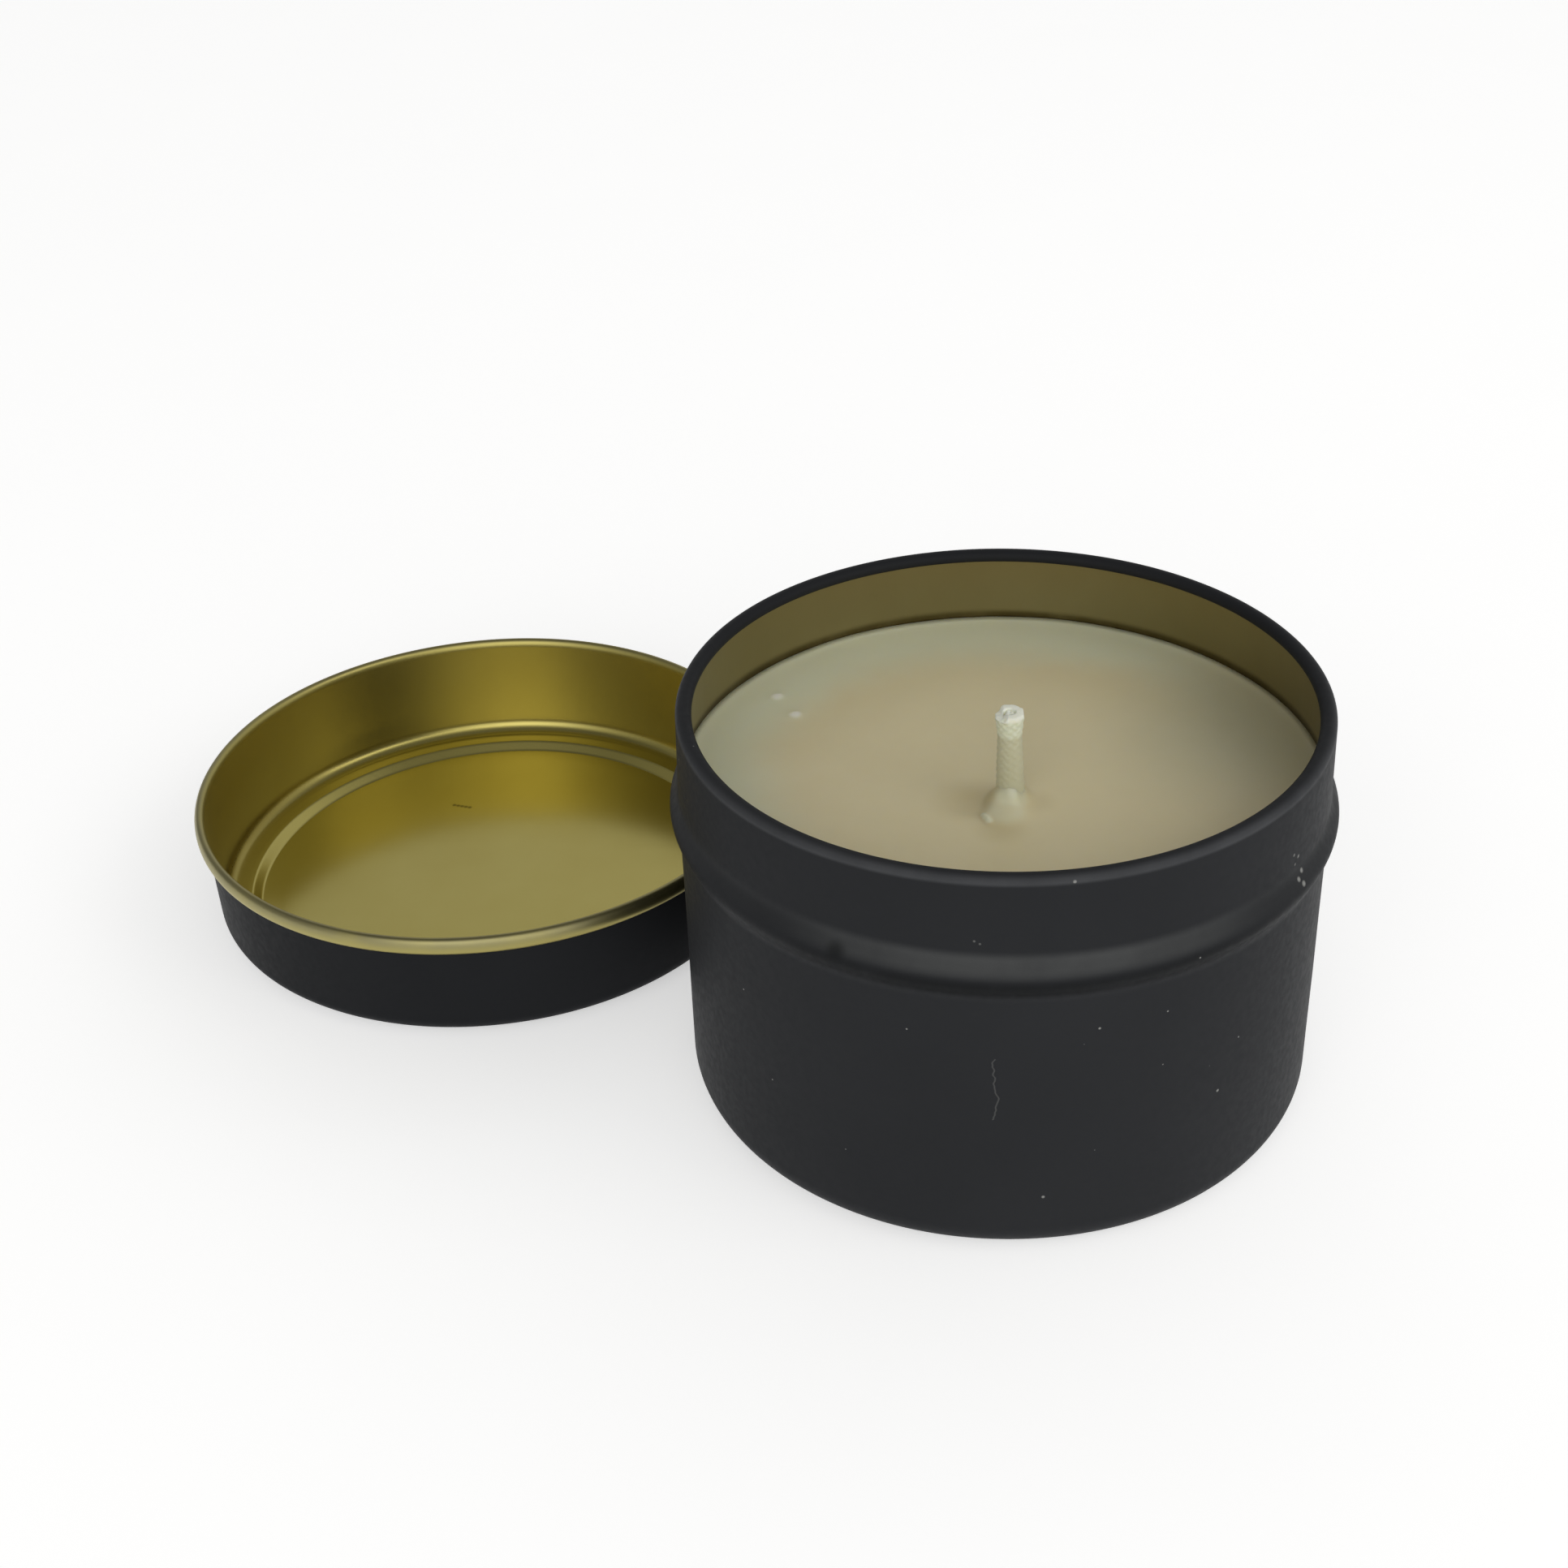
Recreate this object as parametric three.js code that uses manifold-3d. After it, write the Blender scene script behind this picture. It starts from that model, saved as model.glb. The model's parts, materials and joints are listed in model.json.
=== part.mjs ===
// Candle tin: a drawn tinplate tin of poured wax with a braided wick, and its slip lid lying upside
// down beside it. Millimetres, +Z up. The origin is the centre of the tin's base, on the surface
// that the tin and the lid stand on.
import * as THREE from 'three';
import { mergeVertices } from 'three/addons/utils/BufferGeometryUtils.js';
import Module from 'manifold-3d';

const wasm = await Module();
wasm.setup();

// Driving dimensions
const SHEET = 0.3;                  // tinplate with its lacquer
const GAP = 0.05;                   // between the wax and what it was poured around
const SEGMENTS = 72;                // around the tin, the lid and the wax
const SMALL_SEGMENTS = 32;          // around the wick and what holds it
const CURL_TURN = 250;              // degrees that a rolled edge turns through

const BODY_RADIUS = 37.8;           // outside of the tin's wall
const NECK_RADIUS = 37.6;           // the neck narrows a little towards the rim
const BODY_HEIGHT = 51.0;           // base to the top of the curled rim
const BODY_CORNER = 3.8;            // outside radius between the base and the wall
const RIM_CURL_WIDTH = 1.9;         // the rim is rolled inwards
const RIM_CURL_HEIGHT = 1.6;
const BEAD_RADIUS = 38.85;          // crest of the bead that the lid's edge comes down on
const BEAD_CREST = 38.3;            // height of the crest above the base
const BEAD_RISE = 2.8;              // from the crest up to the neck
const BEAD_FALL = 3.1;              // from the crest down to the wall

const LID_CENTRE = [-70.2, 36.7];   // where the lid lies beside the tin
const LID_HEIGHT = 16.7;            // panel to the top of the roll, lying upside down
const LID_SKIRT_RADIUS = 38.35;     // outside of the skirt at its open edge
const LID_FOOT_RADIUS = 38.05;      // outside of the skirt where it meets the corner
const LID_CORNER = 2.2;             // outside radius between the lid's top and its skirt
const LID_CURL_REACH = 1.15;        // how far the rolled edge stands out from the skirt
const LID_CURL_HEIGHT = 2.4;
const PANEL_RADIUS = 32.7;          // raised panel in the middle of the lid's top
const PANEL_STEP = 1.1;             // how far the panel stands proud of the ring around it
const PANEL_SLOPE = 1.5;            // width of the sloped step

const WAX_LEVEL = 40.5;             // wax surface above the base
const WICK_CENTRE = [1.0, -6.1];    // the wick stands a little off the middle
const WICK_TOP = 52.0;              // trimmed end, just above the rim
const WICK_RADIUS = 1.4;
const WICK_FLARE = 0.35;            // the trimmed end has spread by this much
const WICK_FLARE_LENGTH = 3.0;
const CORE_RADIUS = 0.6;            // centre yarn that the wick is braided around
const TAB_RADIUS = 10.0;            // sustainer that holds the wick upright
const TAB_SHEET = 0.3;
const TAB_FILLET = 0.4;             // bend between the sustainer's disc and its collar
const COLLAR_HEIGHT = 6.0;          // the collar is crimped around the wick's foot
const STICKER_RADIUS = 9.5;
const STICKER_THICKNESS = 1.0;      // double-sided foam under the sustainer

const CORNER_STEPS = 4;             // chords in a quarter of a corner
const BEAD_STEPS = 4;               // chords on either side of the bead's crest
const CURL_OUTER_STEPS = 9;         // chords on the outside and the inside of a rolled edge
const CURL_INNER_STEPS = 7;
const CUT_MARGIN = 1;               // how far the cutting tool runs past what it cuts
const MERGE_DISTANCE = 1e-4;        // points nearer than this are one

const FLOOR = SHEET + GAP;
const TAB_LEVEL = FLOOR + STICKER_THICKNESS + GAP;
const TAB_TOP = TAB_LEVEL + TAB_SHEET;
const COLLAR_TOP = TAB_LEVEL + COLLAR_HEIGHT;
const COLLAR_INSIDE = WICK_RADIUS + GAP;
const COLLAR_OUTSIDE = COLLAR_INSIDE + TAB_SHEET;

const point = (radius, height) => new THREE.Vector2(radius, height);

// Points on an ellipse's arc from one angle to another, in degrees, both ends included.
function arc(centre, radii, from, to, steps) {
  return Array.from({ length: steps + 1 }, (unused, i) => {
    const angle = THREE.MathUtils.degToRad(from + ((to - from) * i) / steps);
    return point(centre[0] + radii[0] * Math.cos(angle), centre[1] + radii[1] * Math.sin(angle));
  });
}

// Outside radius of the tin's wall at a height: straight, but for the smooth swell of the bead.
function wallRadius(height) {
  const above = height - BEAD_CREST;
  const away = Math.min(Math.abs(above) / (above > 0 ? BEAD_RISE : BEAD_FALL), 1);
  return BODY_RADIUS + ((BEAD_RADIUS - BODY_RADIUS) * (1 + Math.cos(Math.PI * away))) / 2;
}

// The tin's sheet from the middle of the base up to the neck, set in by the given offset.
function bodyLine(offset) {
  const corner = BODY_CORNER - offset;
  const centre = [BODY_RADIUS - BODY_CORNER, BODY_CORNER];
  const steps = Array.from({ length: 2 * BEAD_STEPS + 1 }, (unused, i) => i / BEAD_STEPS - 1);
  const heights = steps.map((step) => BEAD_CREST + step * (step > 0 ? BEAD_RISE : BEAD_FALL));
  return [
    point(0, offset),
    ...arc(centre, [corner, corner], -90, 0, CORNER_STEPS),
    ...heights.map((height) => point(wallRadius(height) - offset, height)),
  ];
}

// A rolled edge of sheet, open below. The wall's radius is measured on the face that ends up
// outside the roll, and side is -1 for a roll that turns inwards or +1 for one that turns outwards.
function curl(wall, top, width, height, side) {
  const centre = [wall + (side * width) / 2, top - height / 2];
  const from = side < 0 ? 0 : 180;
  const to = from - side * CURL_TURN;
  const outer = arc(centre, [width / 2, height / 2], from, to, CURL_OUTER_STEPS);
  const inner = arc(centre, [width / 2 - SHEET, height / 2 - SHEET], from, to, CURL_INNER_STEPS);
  return side < 0 ? [...outer, ...inner.reverse()] : [...inner, ...outer.reverse()];
}

// The lid's sheet, lying upside down: panel, sloped step, flat ring, corner and skirt.
function lidLine(offset) {
  const corner = LID_CORNER - offset;
  const centre = [LID_FOOT_RADIUS - LID_CORNER, PANEL_STEP + LID_CORNER];
  return [
    point(0, offset),
    point(PANEL_RADIUS - offset / 2, offset),
    point(PANEL_RADIUS + PANEL_SLOPE - offset / 2, PANEL_STEP + offset),
    ...arc(centre, [corner, corner], -90, 0, CORNER_STEPS),
  ];
}

// One named mesh. A lathe turns about its own Y axis, which stands up as Z here.
function piece(name, geometry, [x, y], colour, roughness, metalness) {
  const look = new THREE.MeshStandardMaterial({ color: colour, roughness, metalness });
  const mesh = new THREE.Mesh(geometry, look);
  mesh.name = name;
  mesh.rotation.x = Math.PI / 2;
  mesh.position.set(x, y, 0);
  return mesh;
}

function solid(geometry) {
  const bare = geometry.clone();
  bare.deleteAttribute('normal');
  bare.deleteAttribute('uv');
  const merged = mergeVertices(bare, MERGE_DISTANCE);
  return new wasm.Manifold(new wasm.Mesh({
    numProp: 3,
    vertProperties: merged.attributes.position.array,
    triVerts: new Uint32Array(merged.index.array),
  }));
}

function cut(geometry, tool) {
  const left = solid(geometry).subtract(solid(tool)).getMesh();
  const result = new THREE.BufferGeometry();
  result.setAttribute('position', new THREE.BufferAttribute(left.vertProperties, left.numProp));
  result.setIndex([...left.triVerts]);
  result.computeVertexNormals();
  return result;
}

// The tin is one drawn piece of sheet: base, wall, bead and a rim rolled inwards.
function tinBody() {
  const profile = [
    ...bodyLine(0),
    ...curl(NECK_RADIUS, BODY_HEIGHT, RIM_CURL_WIDTH, RIM_CURL_HEIGHT, -1),
    ...bodyLine(SHEET).reverse(),
  ];
  return piece('tin_body', new THREE.LatheGeometry(profile, SEGMENTS), [0, 0], 0x2f3032, 0.5, 0.4);
}

// The lid is one drawn piece too, with its skirt's edge rolled outwards.
function lid() {
  const inside = LID_SKIRT_RADIUS - SHEET;
  const profile = [
    ...lidLine(0),
    ...curl(inside, LID_HEIGHT, LID_CURL_REACH + SHEET, LID_CURL_HEIGHT, 1),
    ...lidLine(SHEET).reverse(),
  ];
  return piece('lid', new THREE.LatheGeometry(profile, SEGMENTS), LID_CENTRE, 0x8d7f45, 0.35, 0.9);
}

// Foam disc that sticks the sustainer to the floor of the tin.
function wickSticker() {
  const profile = [
    point(0, FLOOR),
    point(STICKER_RADIUS, FLOOR),
    point(STICKER_RADIUS, FLOOR + STICKER_THICKNESS),
    point(0, FLOOR + STICKER_THICKNESS),
  ];
  const disc = new THREE.LatheGeometry(profile, SMALL_SEGMENTS);
  return piece('wick_sticker', disc, WICK_CENTRE, 0xe8e6df, 0.9, 0);
}

// Sustainer: a stamped disc with a collar that grips the wick's foot.
function wickTab() {
  const profile = [
    point(COLLAR_INSIDE, TAB_LEVEL),
    point(TAB_RADIUS, TAB_LEVEL),
    point(TAB_RADIUS, TAB_TOP),
    point(COLLAR_OUTSIDE + TAB_FILLET, TAB_TOP),
    point(COLLAR_OUTSIDE, TAB_TOP + TAB_FILLET),
    point(COLLAR_OUTSIDE, COLLAR_TOP),
    point(COLLAR_INSIDE, COLLAR_TOP),
    point(COLLAR_INSIDE, TAB_LEVEL),
  ];
  const stamping = new THREE.LatheGeometry(profile, SMALL_SEGMENTS);
  return piece('wick_tab', stamping, WICK_CENTRE, 0xb9bbb8, 0.35, 1);
}

// Braided cotton sleeve, a little spread where it was trimmed.
function wickBraid() {
  const inside = CORE_RADIUS + GAP;
  const profile = [
    point(inside, TAB_LEVEL),
    point(WICK_RADIUS, TAB_LEVEL),
    point(WICK_RADIUS, WICK_TOP - WICK_FLARE_LENGTH),
    point(WICK_RADIUS + WICK_FLARE / 2, WICK_TOP - WICK_FLARE_LENGTH / 2),
    point(WICK_RADIUS + WICK_FLARE, WICK_TOP - WICK_FLARE),
    point(WICK_RADIUS + WICK_FLARE / 2, WICK_TOP),
    point(inside, WICK_TOP),
    point(inside, TAB_LEVEL),
  ];
  const sleeve = new THREE.LatheGeometry(profile, SMALL_SEGMENTS);
  return piece('wick_braid', sleeve, WICK_CENTRE, 0xc9c8b6, 0.8, 0);
}

// Straight yarns in the middle of the braid.
function wickCore() {
  const profile = [
    point(0, TAB_LEVEL),
    point(CORE_RADIUS, TAB_LEVEL),
    point(CORE_RADIUS, WICK_TOP),
    point(0, WICK_TOP),
  ];
  const yarn = new THREE.LatheGeometry(profile, SMALL_SEGMENTS);
  return piece('wick_core', yarn, WICK_CENTRE, 0xd4d2c2, 0.85, 0);
}

// The space that the wick, its sustainer and the sticker take up in the wax.
function wickPocket() {
  const profile = [
    point(0, -CUT_MARGIN),
    point(TAB_RADIUS + GAP, -CUT_MARGIN),
    point(TAB_RADIUS + GAP, TAB_TOP + GAP),
    point(COLLAR_OUTSIDE + TAB_FILLET + GAP, TAB_TOP + GAP),
    point(COLLAR_OUTSIDE + GAP, TAB_TOP + TAB_FILLET + GAP),
    point(COLLAR_OUTSIDE + GAP, COLLAR_TOP + GAP),
    point(WICK_RADIUS + GAP, COLLAR_TOP + GAP),
    point(WICK_RADIUS + GAP, WAX_LEVEL + CUT_MARGIN),
    point(0, WAX_LEVEL + CUT_MARGIN),
  ];
  const pocket = new THREE.LatheGeometry(profile, SMALL_SEGMENTS);
  pocket.translate(WICK_CENTRE[0], 0, -WICK_CENTRE[1]);
  return pocket;
}

// Wax, poured to near the top of the bead, so that it fills the inside of the bead.
function waxFill() {
  const offset = SHEET + GAP;
  const profile = [
    ...bodyLine(offset).filter((corner) => corner.y < WAX_LEVEL),
    point(wallRadius(WAX_LEVEL) - offset, WAX_LEVEL),
    point(0, WAX_LEVEL),
  ];
  const poured = cut(new THREE.LatheGeometry(profile, SEGMENTS), wickPocket());
  return piece('wax_fill', poured, [0, 0], 0xa9a07f, 0.45, 0);
}

const group = new THREE.Group();
group.add(
  tinBody(),
  waxFill(),
  wickSticker(),
  wickTab(),
  wickCore(),
  wickBraid(),
  lid(),
);

export default group;
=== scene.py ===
"""Candle tin, as it looks: lacquered tinplate, poured wax, a waxed braided wick and the slip lid.

Sizes in the classes' fields are millimetres, as a tinsmith would give them, and every mesh is in metres.
Places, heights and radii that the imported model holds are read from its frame.
"""
import json
import logging
import math
from dataclasses import dataclass
from enum import Enum
from typing import Any, Iterable, Sequence

import bmesh
import bpy
from mathutils import Euler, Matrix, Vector, noise


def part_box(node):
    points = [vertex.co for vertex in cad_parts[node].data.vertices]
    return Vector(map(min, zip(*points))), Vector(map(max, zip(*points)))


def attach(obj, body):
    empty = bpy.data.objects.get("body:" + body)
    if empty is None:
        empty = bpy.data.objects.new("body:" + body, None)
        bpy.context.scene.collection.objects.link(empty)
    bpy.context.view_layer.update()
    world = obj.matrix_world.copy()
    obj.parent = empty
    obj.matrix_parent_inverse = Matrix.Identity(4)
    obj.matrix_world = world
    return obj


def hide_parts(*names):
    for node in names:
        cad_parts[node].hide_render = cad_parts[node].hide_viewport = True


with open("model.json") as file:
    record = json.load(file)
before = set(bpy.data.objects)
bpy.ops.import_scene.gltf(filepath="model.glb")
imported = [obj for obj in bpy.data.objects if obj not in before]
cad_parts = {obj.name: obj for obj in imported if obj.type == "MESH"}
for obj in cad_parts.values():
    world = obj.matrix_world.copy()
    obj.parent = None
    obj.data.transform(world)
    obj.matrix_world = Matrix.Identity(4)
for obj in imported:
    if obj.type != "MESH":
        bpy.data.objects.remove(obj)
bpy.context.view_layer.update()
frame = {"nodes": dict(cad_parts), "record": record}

LOG = logging.getLogger("candle_tin")
MM = 0.001
ROLL_TURN = 250  # degrees that a rolled edge turns through
ROLL_STEPS = (26, 18)  # chords of its outside and of its inside

Point = tuple[float, float]
Tree = bpy.types.NodeTree
Source = bpy.types.Node | bpy.types.NodeSocket
Material = bpy.types.Material
Skin = bmesh.types.BMesh

# Dust and small scuffs on the tin: degrees around from the front, height and radius.
TIN_SPECKS = (
    (10.4, 50.3, 0.26),
    (-5.0, 43.2, 0.26),
    (-4.1, 42.9, 0.26),
    (15.4, 31.2, 0.2),
    (39.2, 17.1, 0.26),
    (7.1, 8.3, 0.26),
    (57.4, 39.2, 0.45),
    (56.6, 39.9, 0.4),
    (58.2, 40.4, 0.4),
    (56.0, 41.9, 0.3),
    (57.0, 42.6, 0.35),
    (55.4, 43.3, 0.3),
)


class Face(Enum):
    """Side of the tinplate sheet; the value is the shell's material slot."""

    BLACK = 0
    GOLD = 1


class Slot(Enum):
    """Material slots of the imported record."""

    BLACK_TINPLATE = "black_lacquered_tinplate"
    GOLD_TINPLATE = "gold_lacquered_tinplate"
    WAX = "wax"
    YARN = "wick_yarn"
    COTTON = "waxed_cotton"


# ---------------------------------------------------------------- small tools


def linear(colour: str) -> tuple[float, float, float, float]:
    """Turns an sRGB colour into the linear one that shaders use.

    Args:
        colour: six hex digits.

    Returns:
        Red, green, blue and an alpha of 1.
    """
    parts = [int(colour[i : i + 2], 16) / 255 for i in (0, 2, 4)]
    low = [part / 12.92 for part in parts]
    high = [((part + 0.055) / 1.055) ** 2.4 for part in parts]
    return (*(a if part <= 0.04045 else b for part, a, b in zip(parts, low, high)), 1.0)


def per_metre(size: float) -> float:
    """Pattern scale at which one cell measures this many millimetres."""
    return 1 / (size * MM)


def bump_swell(distance: float) -> float:
    """1 at distance 0, falling smoothly to 0 at distance 1 and beyond."""
    return (1 + math.cos(math.pi * min(abs(distance), 1))) / 2


def eased(share: float, bend: float = 0.22) -> float:
    """A straight ramp with a rounded foot and shoulder.

    Args:
        share: 0 at its foot and 1 at its shoulder.
        bend: how much of it each rounding takes.

    Returns:
        Its height, from 0 to 1.
    """
    if share > 0.5:
        return 1 - eased(1 - share, bend)
    slope = 1 / (1 - bend)
    return slope * share**2 / (2 * bend) if share < bend else slope * (share - bend / 2)


def socket_in_use(sockets: Iterable[bpy.types.NodeSocket], name: str | None = None) -> bpy.types.NodeSocket:
    """The first socket that the node's settings leave in use, of that name if one is given."""
    return next(socket for socket in sockets if socket.enabled and name in (None, socket.name))


def add_node(
    tree: Tree, kind: str, inputs: dict[str | int, Any] | None = None, **settings: Any
) -> bpy.types.Node:
    """Adds one node to a material.

    Args:
        tree: the material's node tree.
        kind: the node's type, without its ShaderNode prefix.
        inputs: for each input named, a value, an output to link, or a node whose first output is linked.
        settings: the node's own properties.

    Returns:
        The new node.
    """
    node = tree.nodes.new("ShaderNode" + kind)
    for name, value in settings.items():
        setattr(node, name, value)
    for key, value in (inputs or {}).items():
        socket = node.inputs[key] if isinstance(key, int) else socket_in_use(node.inputs, key)
        if isinstance(value, bpy.types.Node):
            value = socket_in_use(value.outputs)
        if isinstance(value, bpy.types.NodeSocket):
            tree.links.new(value, socket)
        else:
            socket.default_value = value
    return node


def new_material(name: str) -> tuple[Material, Tree, Source]:
    """Starts a material that has nothing in it but the object's own coordinates.

    Args:
        name: what the finish is called.

    Returns:
        The material, its node tree and the coordinates, in metres from the tin's foot.
    """
    material = bpy.data.materials.new(name)
    material.use_nodes = True
    tree = material.node_tree
    tree.nodes.clear()
    return material, tree, add_node(tree, "TexCoord").outputs["Object"]


def finish_material(tree: Tree, inputs: dict[str, Any]) -> None:
    """Ends a material with its Principled shader.

    Args:
        tree: the material's node tree.
        inputs: the shader's values and links.
    """
    shader = add_node(tree, "BsdfPrincipled", inputs)
    add_node(tree, "OutputMaterial", {"Surface": shader})


def arc(centre: Point, radii: Point, start: float, end: float, steps: int) -> list[Point]:
    """Points on an arc of an ellipse, both ends included.

    Args:
        centre: radius and height of the ellipse's middle.
        radii: its half width and half height.
        start: angle of the first point, in degrees.
        end: angle of the last point, in degrees.
        steps: how many chords the arc has.

    Returns:
        Radius and height of each point.
    """
    angles = [math.radians(start + (end - start) * i / steps) for i in range(steps + 1)]
    return [(centre[0] + radii[0] * math.cos(a), centre[1] + radii[1] * math.sin(a)) for a in angles]


def ring_solid(rings: Sequence[Sequence[Vector]], faces: Sequence[int], closed: bool = False) -> Skin:
    """Skins a row of rings.

    Args:
        rings: points of each ring in metres; a ring of one point closes the skin to a pole.
        faces: material slot of each strip between two rings.
        closed: True if the last ring joins the first.

    Returns:
        The skin, as a smooth mesh under construction.
    """
    mesh = bmesh.new()
    made = [[mesh.verts.new(place) for place in ring] for ring in rings]
    count = max(len(ring) for ring in rings)
    pairs = list(zip(made, made[1:] + made[:1] if closed else made[1:], faces))
    for lower, upper, slot in pairs:
        for i in range(count):
            j = (i + 1) % count
            round_face = (
                lower[i % len(lower)], lower[j % len(lower)], upper[j % len(upper)], upper[i % len(upper)]
            )
            face = mesh.faces.new(list(dict.fromkeys(round_face)))
            face.material_index = slot
            face.smooth = True
    return mesh


def piece_from(
    name: str, mesh: Skin, materials: Iterable[Material], nodes: Sequence[str]
) -> bpy.types.Object:
    """Makes a piece of the object that stands for CAD nodes and rides on their body.

    Args:
        name: the piece's name.
        mesh: its finished skin, which is used up.
        materials: what it wears, in slot order.
        nodes: the CAD nodes that it replaces.

    Returns:
        The piece.
    """
    data = bpy.data.meshes.new(name)
    bmesh.ops.recalc_face_normals(mesh, faces=mesh.faces)
    mesh.to_mesh(data)
    mesh.free()
    for material in materials:
        data.materials.append(material)
    piece = bpy.data.objects.new(name, data)
    bpy.context.scene.collection.objects.link(piece)
    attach(piece, body_with(nodes[0]))
    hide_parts(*nodes)
    return piece


def body_with(node: str) -> str:
    """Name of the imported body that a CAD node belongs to."""
    bodies = frame["record"]["behaviour"]["bodies"]
    return next(body for body, nodes in bodies.items() if node in nodes)


def turned(
    outline: Sequence[tuple[Point, Face]], centre: Point, out_of_round: float, segments: int = 288
) -> Skin:
    """Turns a sheet's outline about an upright axis, a little out of true as pressed sheet is.

    Args:
        outline: radius and height of each point, and the face that the strip after it wears.
        centre: x and y of the axis.
        out_of_round: how far the sheet strays from a true circle.
        segments: strips around.

    Returns:
        The skin.
    """
    rings = []
    for (radius, height), _ in outline:
        ring = []
        for i in range(1 if radius == 0 else segments):
            angle = 2 * math.pi * i / segments
            side = Vector((math.cos(angle), math.sin(angle), 0))
            stray = noise.noise(Vector((1.4 * side.x, 1.4 * side.y, height / 14 + centre[0])))
            place = side * (radius + out_of_round * stray * min(radius / 10, 1))
            ring.append((place + Vector((*centre, height))) * MM)
        rings.append(ring)
    return ring_solid(rings, [face.value for _, face in outline[:-1]])


def rolled_edge(
    wall: float, top: float, width: float, height: float, side: int, sheet: float
) -> list[list[Point]]:
    """Outline of a rolled edge, open below.

    Args:
        wall: radius of the face that ends up outside the roll.
        top: height of the roll's top.
        width: across the roll.
        height: from the roll's top to its bottom.
        side: -1 if the edge rolls inwards, 1 if outwards.
        sheet: the sheet's thickness.

    Returns:
        The points on the roll's outside and those on its inside, both from the wall to the cut edge.
    """
    centre = (wall + side * width / 2, top - height / 2)
    start = 0 if side < 0 else 180
    end = start - side * ROLL_TURN
    outside = arc(centre, (width / 2, height / 2), start, end, ROLL_STEPS[0])
    inside = arc(centre, (width / 2 - sheet, height / 2 - sheet), start, end, ROLL_STEPS[1])
    return [outside, inside]


def on_wall(radius: float, angle: float, height: float) -> tuple[float, float, float]:
    """A place on an upright wall.

    Args:
        radius: the wall's radius.
        angle: degrees around from the front, towards the right.
        height: height above the tin's foot.

    Returns:
        x, y and z, in millimetres.
    """
    turn = math.radians(angle)
    return (radius * math.sin(turn), -radius * math.cos(turn), height)


# ------------------------------------------------------------------- finishes


@dataclass(frozen=True)
class Band:
    """A band around the sheet in another tone: a tone of the lacquer on some sheets, painted highlight and
    painted shade on others.

    Attributes:
        height: height of its middle.
        half_width: from there to where it has faded out.
        colour: its tone.
        amount: how much of that tone it has in its middle.
        beyond: radius that it keeps outside of.
        around: degrees from the front to its middle, and from there to where it starts and ends fading.
        rest: share of that amount which is left beyond.
    """

    height: float
    half_width: float
    colour: str
    amount: float = 0.9
    beyond: float = 0.0
    around: tuple[float, float, float] = (0.0, 0.0, 180.0)
    rest: float = 1.0

    def over(self, tree: Tree, place: Source, under: Source, axis: Point) -> Source:
        """Lays the band over a colour.

        Args:
            tree: the material's node tree.
            place: the object's coordinates.
            under: the colour below the band.
            axis: x and y of the axis that the sheet was turned about.

        Returns:
            The colour with the band on it.
        """
        centred = add_node(tree, "VectorMath", {0: place, 1: Vector((*axis, 0)) * MM}, operation="SUBTRACT")
        parts = add_node(tree, "SeparateXYZ", {"Vector": centred})
        away = add_node(tree, "Math", {0: parts.outputs["Z"], 1: self.height * MM}, operation="SUBTRACT")
        size = add_node(tree, "Math", {0: away}, operation="ABSOLUTE")
        fade = add_node(
            tree,
            "MapRange",
            {
                "Value": size,
                "From Min": 0.25 * self.half_width * MM,
                "From Max": self.half_width * MM,
                "To Min": self.amount,
                "To Max": 0.0,
            },
            interpolation_type="SMOOTHSTEP",
        )
        flat = add_node(tree, "VectorMath", {0: centred, 1: (1, 1, 0)}, operation="MULTIPLY")
        radius = add_node(tree, "VectorMath", {0: flat}, operation="LENGTH")
        outside = add_node(
            tree,
            "MapRange",
            {"Value": radius, "From Min": (self.beyond - 0.4) * MM, "From Max": (self.beyond + 0.2) * MM},
        )
        side = add_node(tree, "VectorMath", {0: flat}, operation="NORMALIZE")
        middle, full, gone = self.around
        ahead = add_node(tree, "VectorMath", {0: side, 1: on_wall(1, middle, 0)}, operation="DOT_PRODUCT")
        front = add_node(
            tree,
            "MapRange",
            {
                "Value": ahead,
                "From Min": math.cos(math.radians(gone)),
                "From Max": math.cos(math.radians(full)),
                "To Min": self.rest,
            },
            interpolation_type="SMOOTHSTEP",
        )
        # The band comes and goes over about 6 mm.
        broken = add_node(tree, "TexNoise", {"Vector": place, "Scale": per_metre(6), "Detail": 4.0})
        patchy = add_node(
            tree, "MapRange", {"Value": broken, "From Min": 0.3, "From Max": 0.6, "To Min": 0.7}
        )
        mask = fade
        for share in (outside, front, patchy):
            mask = add_node(tree, "Math", {0: mask, 1: share}, operation="MULTIPLY")
        return add_node(
            tree, "Mix", {"Factor": mask, "A": under, "B": linear(self.colour)}, data_type="RGBA"
        )


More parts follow.
